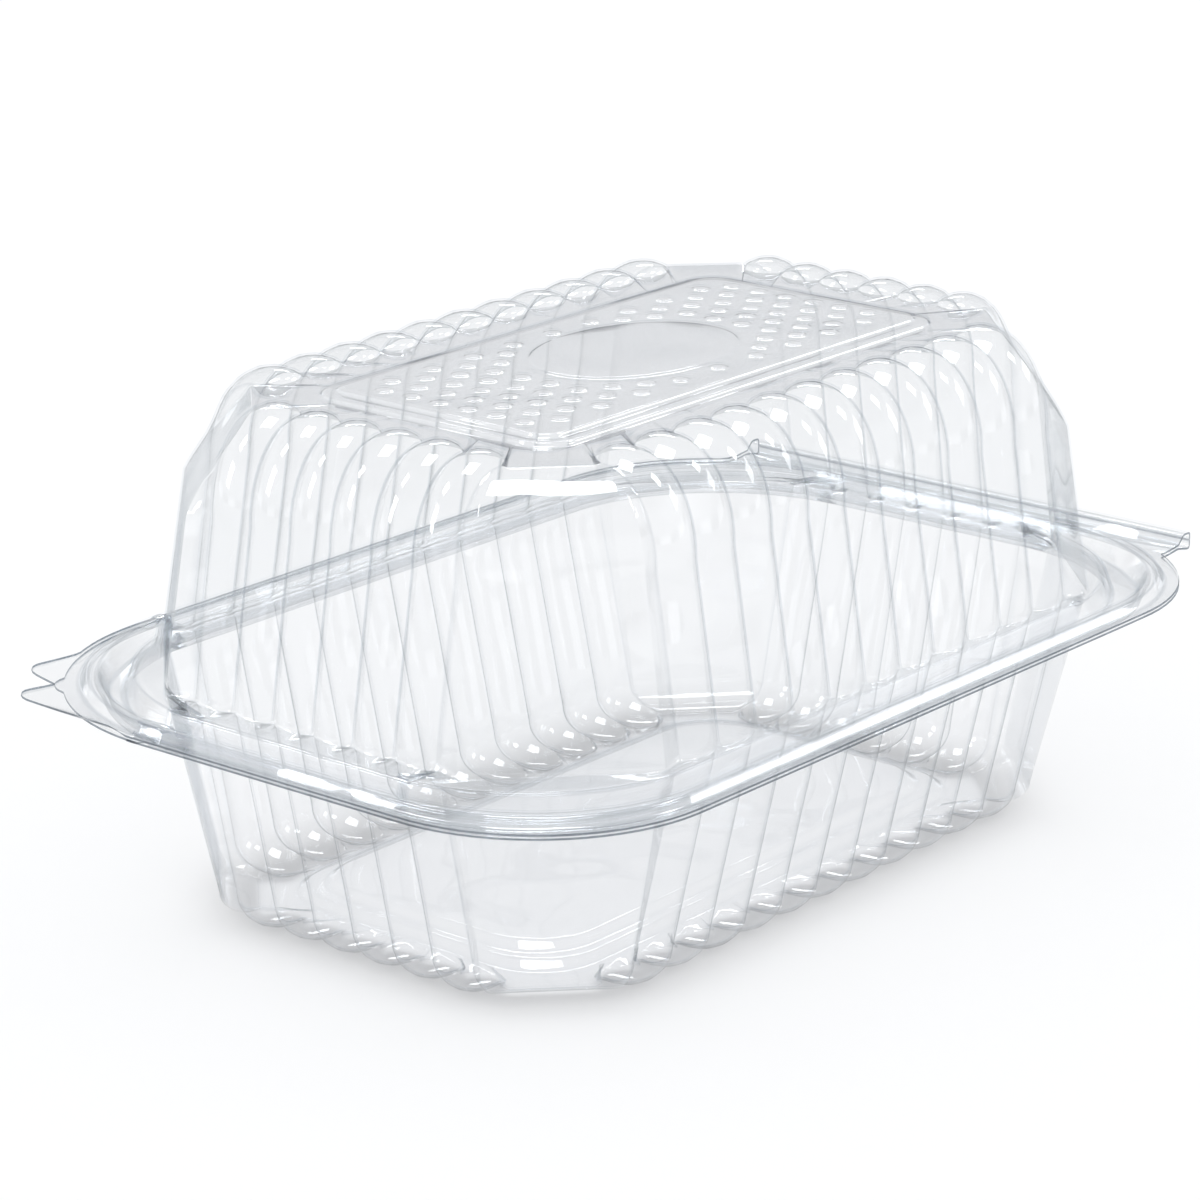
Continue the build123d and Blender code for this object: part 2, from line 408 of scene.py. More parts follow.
@dataclass(frozen=True)
class Dimples:
    """Rows of small round dimples, as a honeycomb, each with a level top.

    Each ring of a dimple is (share of the radius, share of the height, weight of the painted fold shade),
    and the last is its middle. The clearances are the gap to the panel's edge and oval, and how far the
    rows keep out of the panel's corners, as a share of the pitch.
    """

    pitch: float = 0.0068
    radius: float = 0.0021
    height: float = 0.00022
    clear: float = 0.0001
    corner_clear: float = 0.3
    around: int = 12
    rings: tuple[tuple[float, float, float], ...] = (
        (1.1, 0.0, 0.0),
        (1.0, 0.0, 0.0),
        (0.9, 0.35, 0.5),
        (0.78, 0.9, 0.0),
        (0.66, 1.0, 0.0),
        (0.0, 1.0, 0.0),
    )

    def levels(self) -> list[tuple[float, float, float]]:
        """The rings of one dimple as (radius, rise, fold), from its foot to its top."""
        return [(self.radius * share, self.height * rise, fold) for share, rise, fold in self.rings]

    def centres(self, outer: np.ndarray, inner: np.ndarray) -> Points:
        """Places of the dimples on a level face.

        Args:
            outer: Outline of the face.
            inner: Outline of the bare oval in it.

        Returns:
            Their middles.
        """
        margin = self.radius + self.clear
        half = np.abs(outer[:, :2]).max(axis=0) - margin
        bare = np.abs(inner[:, :2]).max(axis=0) + margin
        step = self.pitch * math.sqrt(3) / 2
        columns, rows = math.ceil(half[0] / step), math.ceil(half[1] / self.pitch)
        places = []
        for column in range(-columns, columns + 1):
            for row in range(-rows - 1, rows + 1):
                x, y = column * step, (row + 0.5 * (column % 2)) * self.pitch
                inside = abs(x) <= half[0] and abs(y) <= half[1]
                corner = abs(x) + abs(y) <= half.sum() - self.corner_clear * self.pitch
                if inside and corner and math.hypot(x / bare[0], y / bare[1]) > 1:
                    places.append((x, y))
        return places


class NodeTree:
    """A tree of shader nodes, with short ways to add and link them."""

    def __init__(self, tree: bpy.types.NodeTree) -> None:
        """Takes up a tree.

        Args:
            tree: The tree to add to.
        """
        self.tree = tree

    def add(
        self,
        kind: str,
        inputs: dict[str | int, object] | None = None,
        **values: object,
    ) -> bpy.types.Node:
        """Adds a node.

        Args:
            kind: Blender's name of the node.
            inputs: Numbers, colours or other nodes' outputs for its sockets.
            values: Its other settings.

        Returns:
            The node.
        """
        node = self.tree.nodes.new(kind)
        for key, value in values.items():
            setattr(node, key, value)
        for key, value in (inputs or {}).items():
            if isinstance(value, bpy.types.NodeSocket):
                self.tree.links.new(value, node.inputs[key])
            else:
                node.inputs[key].default_value = value
        return node

    def sum(self, operation: str, first: object, second: object = 0.0) -> bpy.types.NodeSocket:
        """Adds a sum on two sockets or numbers and gives its result."""
        return self.add("ShaderNodeMath", {0: first, 1: second}, operation=operation).outputs[0]

    def between(self, share: object, first: object, second: object) -> bpy.types.NodeSocket:
        """Adds a mix of two numbers and gives its result."""
        return self.add("ShaderNodeMix", {0: share, 2: first, 3: second}).outputs[0]

    def blend(self, share: object, first: object, second: object) -> bpy.types.NodeSocket:
        """Adds a mix of two colours, which are the mix node's sockets 6 and 7, and gives its result."""
        return self.add("ShaderNodeMix", {0: share, 6: first, 7: second}, data_type="RGBA").outputs[2]

    def ease(
        self,
        value: object,
        span: tuple[float, float],
        results: tuple[float, float] = (0.0, 1.0),
    ) -> bpy.types.NodeSocket:
        """Adds a smooth step.

        Args:
            value: What it follows.
            span: Values at which the step starts and ends.
            results: Its results there.

        Returns:
            The step's result.
        """
        inputs = {"Value": value, "From Min": span[0], "From Max": span[1]}
        inputs |= {"To Min": results[0], "To Max": results[1]}
        return self.add("ShaderNodeMapRange", inputs, interpolation_type="SMOOTHSTEP").outputs[0]

    def mixed(self, share: object, first: bpy.types.Node, second: bpy.types.Node) -> bpy.types.NodeSocket:
        """Adds a mix of two shaders and gives its result."""
        inputs = {0: share, 1: first.outputs[0], 2: second.outputs[0]}
        return self.add("ShaderNodeMixShader", inputs).outputs[0]


class MaterialNodes(NodeTree):
    """The nodes of a new material."""

    def __init__(self, name: str) -> None:
        """Starts a material with no nodes.

        Args:
            name: Name of the material.
        """
        self.material = bpy.data.materials.new(name)
        self.material.use_nodes = True
        super().__init__(self.material.node_tree)
        self.tree.nodes.clear()

    def close(self, shader: bpy.types.NodeSocket) -> bpy.types.Material:
        """Sends a shader to the surface and gives the material."""
        self.add("ShaderNodeOutputMaterial", {"Surface": shader})
        return self.material


@dataclass(frozen=True)
class ClearSheet:
    """Finish of clear glossy sheet: see-through face on, greyer edge on and along its folds.

    The greying edge on and along the folds is painted shade, standing in for light that the bent sheet
    sends aside. The shade dims the light that reaches the table through it, as the tightly curved faces of
    real sheet send much of it aside.
    """

    name: str
    tint: Colour = (0.972, 0.977, 0.980, 1)
    # Painted shade: seen edge on, the sheet greys towards the edge tint, more steeply with a higher power.
    edge_on_painted_shade: Colour = (0.60, 0.64, 0.67, 1)
    # Painted shade: the sheet greys towards the fold tint along its folds and valleys.
    fold_painted_shade: Colour = (0.68, 0.71, 0.74, 1)
    edge_shade_power: float = 7.0
    fold_share: float = 0.9
    shade: float = 0.0
    shadow: Colour = (0.0, 0.0, 0.0, 1)
    base_shine: float = 0.075
    edge_shine: float = 0.62
    edge_shine_power: float = 4.0
    most_shine: float = 0.6
    roughness: float = 0.04
    ripple_scale: float = 60.0
    ripple_height: float = 0.0010

    def bump(self, nodes: NodeTree) -> bpy.types.NodeSocket:
        """Adds the sheet's slow waves.

        Args:
            nodes: The material's nodes.

        Returns:
            The bumped normal.
        """
        place = nodes.add("ShaderNodeTexCoord").outputs["Object"]
        inputs = {"Vector": place, "Scale": self.ripple_scale, "Detail": 0.0}
        height = nodes.add("ShaderNodeTexNoise", inputs).outputs["Fac"]
        inputs = {"Height": height, "Distance": self.ripple_height, "Strength": 1.0}
        return nodes.add("ShaderNodeBump", inputs).outputs[0]

    def material(self) -> bpy.types.Material:
        """Makes the material.

        Returns:
            The material.
        """
        nodes = MaterialNodes(self.name)
        normal = self.bump(nodes)
        facing = nodes.add("ShaderNodeLayerWeight", {"Blend": 0.5, "Normal": normal}).outputs["Facing"]
        fold = nodes.add("ShaderNodeAttribute", attribute_name="fold").outputs["Fac"]
        # Painted shade: the colour greys when the sheet is seen edge on, and greys again along its folds.
        tint = nodes.blend(nodes.sum("POWER", facing, self.edge_shade_power), self.tint, self.edge_on_painted_shade)
        colour = nodes.blend(nodes.sum("MULTIPLY", fold, self.fold_share), tint, self.fold_painted_shade)
        if self.shade:
            to_table = nodes.add("ShaderNodeLightPath").outputs["Is Diffuse Ray"]
            colour = nodes.blend(nodes.sum("MULTIPLY", to_table, self.shade), colour, self.shadow)
        clear = nodes.add("ShaderNodeBsdfTransparent", {"Color": colour})
        gloss = nodes.add("ShaderNodeBsdfGlossy", {"Roughness": self.roughness, "Normal": normal})
        steep = nodes.sum("POWER", facing, self.edge_shine_power)
        shine = nodes.sum("ADD", nodes.sum("MULTIPLY", steep, self.edge_shine), self.base_shine)
        share = nodes.sum("MINIMUM", shine, self.most_shine)
        return nodes.close(nodes.mixed(share, clear, gloss))


@dataclass(frozen=True)
class InnerSkin:
    """Finish of the sheet's other face, which only tints what is seen through it."""

    name: str
    tint: Colour = (0.990, 0.992, 0.995, 1)
    # Painted shade: seen edge on, the inner face greys towards the edge tint.
    edge_on_painted_shade: Colour = (0.86, 0.88, 0.90, 1)
    edge_shade_power: float = 7.0

    def material(self) -> bpy.types.Material:
        """Makes the material.

        Returns:
            The material.
        """
        nodes = MaterialNodes(self.name)
        facing = nodes.add("ShaderNodeLayerWeight", {"Blend": 0.5}).outputs["Facing"]
        # Painted shade: the colour greys when the face is seen edge on.
        colour = nodes.blend(nodes.sum("POWER", facing, self.edge_shade_power), self.tint, self.edge_on_painted_shade)
        return nodes.close(nodes.add("ShaderNodeBsdfTransparent", {"Color": colour}).outputs[0])


@dataclass(frozen=True)
class CutEdge:
    """Finish of the sheet's cut edge, where light is caught inside and it looks dark."""

    name: str
    tint: Colour = (0.16, 0.20, 0.24, 1)
    pale_tint: Colour = (0.40, 0.44, 0.48, 1)
    grain_scale: float = 400.0
    shine: float = 0.12
    roughness: float = 0.25

    def material(self) -> bpy.types.Material:
        """Makes the material.

        Returns:
            The material.
        """
        nodes = MaterialNodes(self.name)
        place = nodes.add("ShaderNodeTexCoord").outputs["Object"]
        inputs = {"Vector": place, "Scale": self.grain_scale, "Detail": 1.0}
        grain = nodes.add("ShaderNodeTexNoise", inputs).outputs["Fac"]
        colour = nodes.blend(grain, self.tint, self.pale_tint)
        clear = nodes.add("ShaderNodeBsdfTransparent", {"Color": colour})
        gloss = nodes.add("ShaderNodeBsdfGlossy", {"Roughness": self.roughness})
        return nodes.close(nodes.mixed(self.shine, clear, gloss))


class Finishes:
    """The finishes of both pieces."""

    def __init__(self) -> None:
        """Makes the materials."""
        wall = ClearSheet("clear_sheet")
        # Painted light: the rim's tints are paler than the wall's.
        rim = replace(
            wall,
            name="clear_sheet_rim",
            tint=(0.988, 0.991, 0.993, 1),
            edge_on_painted_shade=(0.74, 0.77, 0.80, 1),
        )
        # Painted shade: the crown's tint is darker and greys broadly edge on, on the top of the lid.
        crown = replace(
            wall,
            name="clear_sheet_crown",
            tint=(0.930, 0.938, 0.948, 1),
            edge_on_painted_shade=(0.58, 0.60, 0.64, 1),
            edge_shade_power=2.5,
            base_shine=0.12,
            edge_shine=1.65,
        )
        # Painted light: the tray's tints are paler than the lid's.
        tray_wall = replace(
            wall,
            name="clear_sheet_tray",
            tint=(0.994, 0.995, 0.997, 1),
            edge_on_painted_shade=(0.70, 0.73, 0.76, 1),
            fold_painted_shade=(0.74, 0.77, 0.80, 1),
        )
        # Painted light: the tray rim's tints are paler than the lid's.
        tray_rim = replace(
            wall,
            name="clear_sheet_tray_rim",
            tint=(0.992, 0.994, 0.996, 1),
            edge_on_painted_shade=(0.78, 0.81, 0.84, 1),
        )
        looks = {
            Finish.WALL: wall,
            Finish.RIM: rim,
            Finish.CROWN: crown,
            # The panel carries the crown's painted shade, a little paler.
            Finish.PANEL: replace(crown, name="clear_sheet_panel", tint=(0.945, 0.952, 0.960, 1)),
            Finish.TRAY_WALL: tray_wall,
            Finish.TRAY_RIM: tray_rim,
            Finish.TRAY_FOOT: replace(tray_wall, name="clear_sheet_feet", shade=0.36),
            Finish.INNER: InnerSkin("clear_sheet_inner"),
            Finish.CUT_EDGE: CutEdge("clear_sheet_edge"),
        }
        self.made = {finish: look.material() for finish, look in looks.items()}


class FormedSheet:
    """A skin of formed sheet, laid down as closed outlines from the flange's edge inwards."""

    def __init__(self, layout: Layout) -> None:
        """Starts an empty skin.

        Args:
            layout: Where the points of each outline lie.
        """
        self.layout = layout
        self.verts: list[np.ndarray] = []
        self.folds: list[np.ndarray] = []
        self.faces: list[tuple[int, ...]] = []
        self.finishes: list[int] = []
        self.loose: list[tuple[float, float, float, float]] = []
        self.size = len(layout.valley_mask())
        self.rings = 0

    def ring(
        self,
        outline: np.ndarray,
        z: float,
        finish: Finish,
        fold: float = 0.0,
        valleys: float = 0.0,
    ) -> None:
        """Lays down the next outline and joins it to the one before.

        Args:
            outline: Its points (x, y, rise).
            z: Its height, to which each point's rise is added.
            finish: Finish of the faces between this outline and the one before.
            fold: How dark the painted fold shade is along the whole outline, 0 to 1.
            valleys: How dark it is at the valleys between the flutes, 0 to 1.
        """
        start = self.rings * self.size
        self.verts.append(outline + (0.0, 0.0, z))
        self.folds.append(np.maximum(fold, self.layout.valley_mask() * valleys))
        if self.rings:
            before = start - self.size
            for i in range(self.size):
                j = (i + 1) % self.size
                self.faces.append((before + i, before + j, start + j, start + i))
            self.finishes += [finish.value] * self.size
        self.rings += 1

    def dimple(self, outline: np.ndarray, z: float, dimples: Dimples, finish: Finish) -> None:
        """Lays down the next outline, with a dimpled level face between it and the one before.

        The dimples' points are kept apart from those of the outlines, and a face names them by the
        numbers -1, -2 and so on.

        Args:
            outline: Its points (x, y, rise).
            z: Height of the face.
            dimples: The rows of dimples.
            finish: Finish of the face.
        """
        outer = self.verts[-1]
        start = (self.rings - 1) * self.size
        on_outlines = 2 * self.size
        self.verts.append(outline + (0.0, 0.0, z))
        self.folds.append(np.zeros(self.size))
        self.rings += 1
        points = [tuple(point[:2]) for point in (*outer, *outline)]
        edges = [(k + i, k + (i + 1) % self.size) for k in (0, self.size) for i in range(self.size)]
        for x, y in dimples.centres(outer, outline):
            for radius, rise, fold in dimples.levels():
                first = len(points)
                count = dimples.around if radius else 1
                for i in range(count):
                    angle = 2 * math.pi * i / count
                    points.append((x + radius * math.cos(angle), y + radius * math.sin(angle)))
                    self.loose.append((*points[-1], z + rise, fold))
                if radius:
                    edges += [(first + i, first + (i + 1) % count) for i in range(count)]
        flat = [Vector(point) for point in points]
        closest = 1e-7
        _, _, faces, origins, _, _ = delaunay_2d_cdt(flat, edges, [], 0, closest)
        for face in faces:
            corners = [origins[i][0] for i in reversed(face)]
            if all(self.size <= i < on_outlines for i in corners):
                continue
            self.faces.append(tuple(start + i if i < on_outlines else on_outlines - 1 - i for i in corners))
            self.finishes.append(finish.value)

    def close(self, finish: Finish) -> None:
        """Closes the middle with a fan.

        Args:
            finish: Finish of the fan.
        """
        centre = self.verts[-1].mean(axis=0)
        self.verts.append(centre[None, :])
        self.folds.append(np.zeros(1))
        start = (self.rings - 1) * self.size
        for i in range(self.size):
            self.faces.append((start + i, start + (i + 1) % self.size, self.rings * self.size))
        self.finishes += [finish.value] * self.size

    def strip(self, edge_x: float, half_width: float, line: BentLine, finish: Finish) -> None:
        """Carries the skin on from the straight edge of the flange as a folded strip.

        Args:
            edge_x: Where the flange ends.
            half_width: Half the strip's width.
            line: Points (x, z, fold) of the strip's side profile, outwards from the flange.
            finish: Finish of the strip.
        """
        edge = self.verts[0]
        slack = 1e-6
        on_edge = (edge[:, 0] > edge_x - slack) & (np.abs(edge[:, 1]) < half_width + slack)
        before = np.flatnonzero(on_edge).tolist()
        along = edge[before]
        start = sum(len(verts) for verts in self.verts)
        for x, z, fold in line:
            row = along.copy()
            row[:, 0] = x
            row[:, 2] = z
            now = list(range(start, start + len(row)))
            for i in range(len(row) - 1):
                self.faces.append((before[i + 1], before[i], now[i], now[i + 1]))
                self.finishes.append(finish.value)
            self.verts.append(row)
            self.folds.append(np.full(len(row), fold))
            before = now
            start += len(row)

    def middle(self, name: str, finishes: Finishes) -> bpy.types.Object:
        """Makes the skin without thickness, as the middle of the sheet.

        Its slots hold the outer finishes three times over: for the sheet's outer face, its inner face
        and its cut edge.

        Args:
            name: Name of the skin.
            finishes: The sheet's finishes.

        Returns:
            The skin.
        """
        mesh = bpy.data.meshes.new(name)
        laid = np.vstack(self.verts)
        loose = np.array(self.loose).reshape(-1, 4)
        points = np.vstack([laid, loose[:, :3]])
        points[:, 0] += TO_CENTRE
        faces = [tuple(i if i >= 0 else len(laid) - 1 - i for i in face) for face in self.faces]
        mesh.from_pydata(points.tolist(), [], faces)
        # The fold attribute weights the painted fold shade in the materials.
        layer = mesh.attributes.new("fold", "FLOAT", "POINT")
        folds = np.concatenate([*self.folds, loose[:, 3]])
        layer.data.foreach_set("value", folds.astype(np.float32))
        mesh.polygons.foreach_set("use_smooth", [True] * len(mesh.polygons))
        mesh.polygons.foreach_set("material_index", self.finishes)
        outer = Finish.INNER.value
        for index in range(3 * outer):
            mesh.materials.append(finishes.made[Finish(index % outer)])
        mesh.update()
        skin = bpy.data.objects.new(name, mesh)
        bpy.context.scene.collection.objects.link(skin)
        return skin

    def thickened(self, middle: bpy.types.Object, finishes: Finishes) -> bpy.types.Mesh:
        """Gives the skin the sheet's thickness.

        Args:
            middle: The skin without thickness, which is used up.
            finishes: The sheet's finishes.

        Returns:
            The closed mesh, with one slot for each finish.
        """
        outer = Finish.INNER.value
        sheet = middle.modifiers.new("sheet", "SOLIDIFY")
        sheet.thickness = SHEET
        sheet.offset = 0.0
        sheet.use_rim = True
        sheet.material_offset = outer
        sheet.material_offset_rim = 2 * outer
        graph = bpy.context.evaluated_depsgraph_get()
        mesh = bpy.data.meshes.new_from_object(middle.evaluated_get(graph))
        bpy.data.objects.remove(middle)
        slots = np.zeros(len(mesh.polygons), np.int32)
        mesh.polygons.foreach_get("material_index", slots)
        behind = np.where(slots < 2 * outer, Finish.INNER.value, Finish.CUT_EDGE.value)
        slots = np.where(slots < outer, slots, behind)
        mesh.materials.clear()
        for finish in Finish:
            mesh.materials.append(finishes.made[finish])
        mesh.polygons.foreach_set("material_index", slots.astype(np.int32))
        mesh.set_sharp_from_angle(angle=CREASE_ANGLE)
        return mesh

    def build(self, name: str, node: str, finishes: Finishes, on_table: bool) -> bpy.types.Object:
        """Makes the piece, with the sheet's thickness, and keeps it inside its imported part's box.

        Args:
            name: Name of the piece.
            node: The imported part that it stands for.
            finishes: The sheet's finishes.
            on_table: Whether it stands on the table and shades it softly.

        Returns:
            The piece.
        """
        mesh = self.thickened(self.middle(name + "_middle", finishes), finishes)
        places = np.zeros(3 * len(mesh.vertices), np.float32)
        mesh.vertices.foreach_get("co", places)
        low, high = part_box(node)
        places = np.clip(places.reshape(-1, 3), np.array(low), np.array(high))
        mesh.vertices.foreach_set("co", places.astype(np.float32).ravel())
        mesh.update()
        piece = bpy.data.objects.new(name, mesh)
        piece.visible_shadow = False
        piece.visible_diffuse = on_table
        bpy.context.scene.collection.objects.link(piece)
        return piece


@dataclass(frozen=True)
class Rim:
    """The rim that lid and tray share: flange, ridge, channel and inner step.

    The ridge's values are the insets of its foot and of its top's two edges, and the step's are those
    of its foot and top. The last four keep the step's inner edge clear of the wall's foot: the least
    share of the foot's reach at which it lies, what is added at the step's top, how far past the top
    that has faded away, and over which run.
    """

    half_length: float = 0.1105
    half_width: float = 0.0740
    top: float = 0.0464
    radii: tuple[float, ...] = (0.040, 0.040, 0.037, 0.048)
    step_radii: tuple[float, ...] = (0.040, 0.040, 0.037, 0.042)
    ridge: tuple[float, float, float] = (0.0019, 0.0030, 0.0050)
    ridge_height: float = 0.0020
    channel: float = 0.0063
    channel_depth: float = 0.0025
    step: tuple[float, float] = (0.0094, 0.0106)
    step_height: float = 0.0023
    step_land: float = 0.0012
    fillet: float = 0.0005
    # Weight of the painted fold shade at the rim's bends.
    fold: float = 0.7
    cut_band: float = 0.0004
    # Weight of the painted fold shade along the flange's cut edge.
    cut_fold: float = 0.8
    hinge_half_width: float = 0.056
    hinge_rise: float = 0.0026
    hinge_ramp: float = 0.0017
    hinge_fillet: float = 0.0007
    hinge_gap: float = 0.0001
    tab_drop: float = 0.0145
    tab_notch: float = 0.0115
    tab_shoulder: float = 0.0044
    tab_lobe: float = 0.0050
    tab_notch_radius: float = 0.00125
    tab_lift: float = 0.13
    nub_half_width: float = 0.0035
    nub_reach: float = 0.0016
    clear_least: float = 1.002
    clear_more: float = 0.010
    clear_end: float = 0.0013
    clear_run: float = 0.0018

    def slide(self, run: float, rise: float) -> float:
        """How far a sloped face moves across for each unit that its sheet lies lower.

        Args:
            run: The slope's width.
            rise: Its height.

        Returns:
            The share.
        """
        return (math.hypot(run, rise) - run) / rise

    def profile(self, depth: float) -> BentLine:
        """Side profile of the rim, from the flange's edge to the foot of the wall.

        Args:
            depth: How far the sheet's middle lies under the lid's top face.

        Returns:
            Points as (inset, height, bend).
        """
        foot, outer, inner = self.ridge
        low, high = self.step
        rise = self.ridge_height
        out = depth * self.slide(outer - foot, rise)
        back = depth * self.slide(self.channel - inner, rise + self.channel_depth)
        up = depth * self.slide(high - low, self.step_height + self.channel_depth)
        z = self.top - depth
        points = [
            (0.0, z),
            (foot + out, z),
            (outer + out, z + rise),
            (inner - back, z + rise),
            (self.channel - back, z - self.channel_depth),
            (low + up, z - self.channel_depth),
            (high + up, z + self.step_height),
            (high + up + self.step_land, z + self.step_height),
        ]
        return rounded_line(points, self.fillet)

    def flange_edge(self, layout: Layout, tab: bool) -> np.ndarray:
        """Outline of the flange: squared off where the hinge starts, with the tab or the nub.

        Args:
            layout: Where the points lie.
            tab: Whether the tab's two lobes fill the tab corner, which has the nub otherwise.

        Returns:
            The outline.
        """
        long_end, short_end = layout.long_row.half(), layout.short_row.half()
        length, width, hinge = self.half_length, self.half_width, self.hinge_half_width
        quarters = []
        for corner, radius, steps in zip(Corner, self.radii, layout.corner_steps):
            centre = (length - radius, width - radius)
            path = [(long_end, width), *arc(centre, radius, 90, 0), (length, short_end)]
            keep: Points = []
            if corner in (Corner.FAR_HINGE, Corner.NEAR_HINGE):
                turn = math.degrees(math.asin((hinge - centre[1]) / radius))
                bow = arc(centre, radius, 90, turn)
                keep = [bow[-1], (length, hinge)]
                path = [(long_end, width), *bow, (length, hinge), (length, short_end)]
            elif corner is Corner.TAB and tab:
                path = self.tab_path(centre, radius, (long_end, short_end))
                keep = [self.notch()]
            plan = spread(path, steps, keep)
            if corner is Corner.TAB and not tab:
                plan = self.with_nub(plan, centre, radius)
            quarters.append(np.column_stack([plan, 0 * plan[:, 0]]))
        return layout.join(length, width, quarters)

    def with_nub(self, plan: np.ndarray, centre: tuple[float, float], radius: float) -> np.ndarray:
        """Pushes out the blunt nub in the middle of a corner's edge.

        Args:
            plan: Points of the corner.
            centre: Middle of the corner's arc.
            radius: Its radius.

        Returns:
            The points with the nub.
        """
        spoke = plan - centre
        angles = np.arctan2(spoke[:, 1], spoke[:, 0])
        off = radius * (angles - math.pi / 4) / self.nub_half_width
        reach = self.nub_reach * np.sqrt(np.clip(1 - off**2, 0, None))
        return plan + spoke / np.linalg.norm(spoke, axis=1)[:, None] * reach[:, None]

    def notch(self) -> tuple[float, float]:
        """Place of the notch between the tab's lobes, in the +X +Y quarter."""
        return (self.half_length - self.tab_notch, self.half_width - self.tab_drop)

    def tab_path(self, centre: tuple[float, float], radius: float, ends: tuple[float, float]) -> Points:
        """Outline of the tab's two lobes, drawn in the +X +Y quarter from long to short side.

        Args:
            centre: Middle of the corner's arc.
            radius: Its radius.
            ends: Where the long and the short side end.

        Returns:
            Points of the path.
        """
        length, notch = self.half_length, self.notch()
        shoulder = self.half_width - self.tab_shoulder
        meet = math.degrees(math.asin((shoulder - centre[1]) / radius))
        bow = arc(centre, radius, 90, meet)
        upper = (notch[0] - self.tab_lobe / 3, shoulder)
        lower = (length, notch[1])
        corners = [bow[-1], upper, notch, lower, (length, ends[1])]
        lobes = filleted(corners, (self.tab_lobe, self.tab_notch_radius, self.tab_lobe))
        return [(ends[0], self.half_width), *bow, *lobes[1:]]

    def clear_of(self, foot: np.ndarray, outline: np.ndarray, inset: float) -> np.ndarray:
        """Moves the step's inner edge out where it would meet the wall's foot.

        Args:
            foot: Outline of the wall's foot.
            outline: Outline of the edge.
            inset: How far the edge lies inside the flange's.

        Returns:
            The outline of the edge, clear of the foot.
        """
        more = self.clear_more * (self.step[1] + self.clear_end - inset) / self.clear_run
        reach = np.hypot(*outline[:, :2].T)
        clear = np.hypot(*foot[:, :2].T) * (self.clear_least + more)
        return np.where((clear > reach)[:, None], outline * (clear / reach)[:, None], outline)

    def lay(self, skin: FormedSheet, depth: float, tab: bool, foot: np.ndarray, finish: Finish) -> None:
        """Lays the rim's outlines down.

        Args:
            skin: The sheet that they join.
            depth: How far the sheet's middle lies under the lid's top face.
            tab: Whether this rim has the tab.
            foot: Outline of the wall's foot.
            finish: Finish of the rim.
        """
        layout = skin.layout
        edge = self.flange_edge(layout, tab)
        z = self.top - depth
        band = self.cut_band
        inner = layout.rounded(self.half_length - band, self.half_width - band, self.radii)
        across = np.linalg.norm((inner - edge)[:, :2], axis=1)[:, None]
        lifted = edge + (across - band) * self.tab_lift * (0, 0, 1)
        skin.ring(lifted, z, finish, fold=self.cut_fold)
        skin.ring(lifted + (inner - lifted) * np.minimum(1, band / across), z, finish)
        for inset, height, bend in self.profile(depth)[1:]:
            deep = inset > (self.channel + self.step[0]) / 2
            radii = self.step_radii if deep else self.radii
            outline = layout.rounded(self.half_length - inset, self.half_width - inset, radii)
            if inset > self.step[1] - self.fillet:
                outline = self.clear_of(foot, outline, inset)
            skin.ring(outline, height, finish, fold=bend * self.fold)

    def lay_hinge(self, skin: FormedSheet, points: Points, finish: Finish) -> None:
        """Carries the flange on to its half of the folded strip.

        Args:
            skin: The sheet that it joins.
            points: Side profile (x, z) from the flange's edge outwards, without its last point.
            finish: Finish of the strip.
        """
        out, level = points[-1]
        fold_height = self.top + (self.hinge_rise - NEST - SHEET) / 2
        end = fold_height + math.copysign(self.hinge_gap, level - fold_height)
        line = rounded_line([*points, (out, end)], self.hinge_fillet)
        folds = [(x, z, bend * self.fold) for x, z, bend in line[1:-1]]
        skin.strip(self.half_length, self.hinge_half_width, [*folds, (out, end, 1.0)], finish)


@dataclass(frozen=True)
class Wall:
    """A fluted wall, flared where it leaves the rim and drafted from there to its bulbs.

    The leads are how far the corner facets start past the last flute, at the wall's foot and end. At
    the foot the flutes have only a share of their depth.
    """

    end: float
    draft: float
    leads: tuple[float, float]
    flare: float = 0.0009
    flare_height: float = 0.0016
    flare_steps: int = 4
    foot_depth: float = 0.6
    steps: int = 6

    def end_reach(self, foot: float) -> float:
        """Reach of the valleys at the wall's end, for a foot at this height."""
        return -(abs(self.end - foot) - self.flare_height) * math.tan(self.draft)

    def levels(self, foot: float, depth: float) -> list[Station]:
        """Levels of the wall's outer face.

        Args:
            foot: Height of the wall's foot, at the rim.
            depth: Depth of the flutes.

        Returns:
            The levels, from the foot to just before the wall's end.
        """
        along = math.copysign(1, self.end - foot)
        levels = []
        for step in range(self.flare_steps):
            angle = math.pi / 2 * step / self.flare_steps
            reach = self.flare * (1 - math.sin(angle))
            z = foot + along * self.flare_height * (1 - math.cos(angle))
            share = self.foot_depth + (1 - self.foot_depth) * math.sin(angle)
            levels.append(Station(reach, z, depth * share, self.leads[0]))
        straight = foot + along * self.flare_height
        for step in range(self.steps):
            share = step / self.steps
            z = straight + (self.end - straight) * share
            lead = self.leads[0] + (self.leads[1] - self.leads[0]) * share
            levels.append(Station(-abs(z - straight) * math.tan(self.draft), z, depth, lead))
        return levels


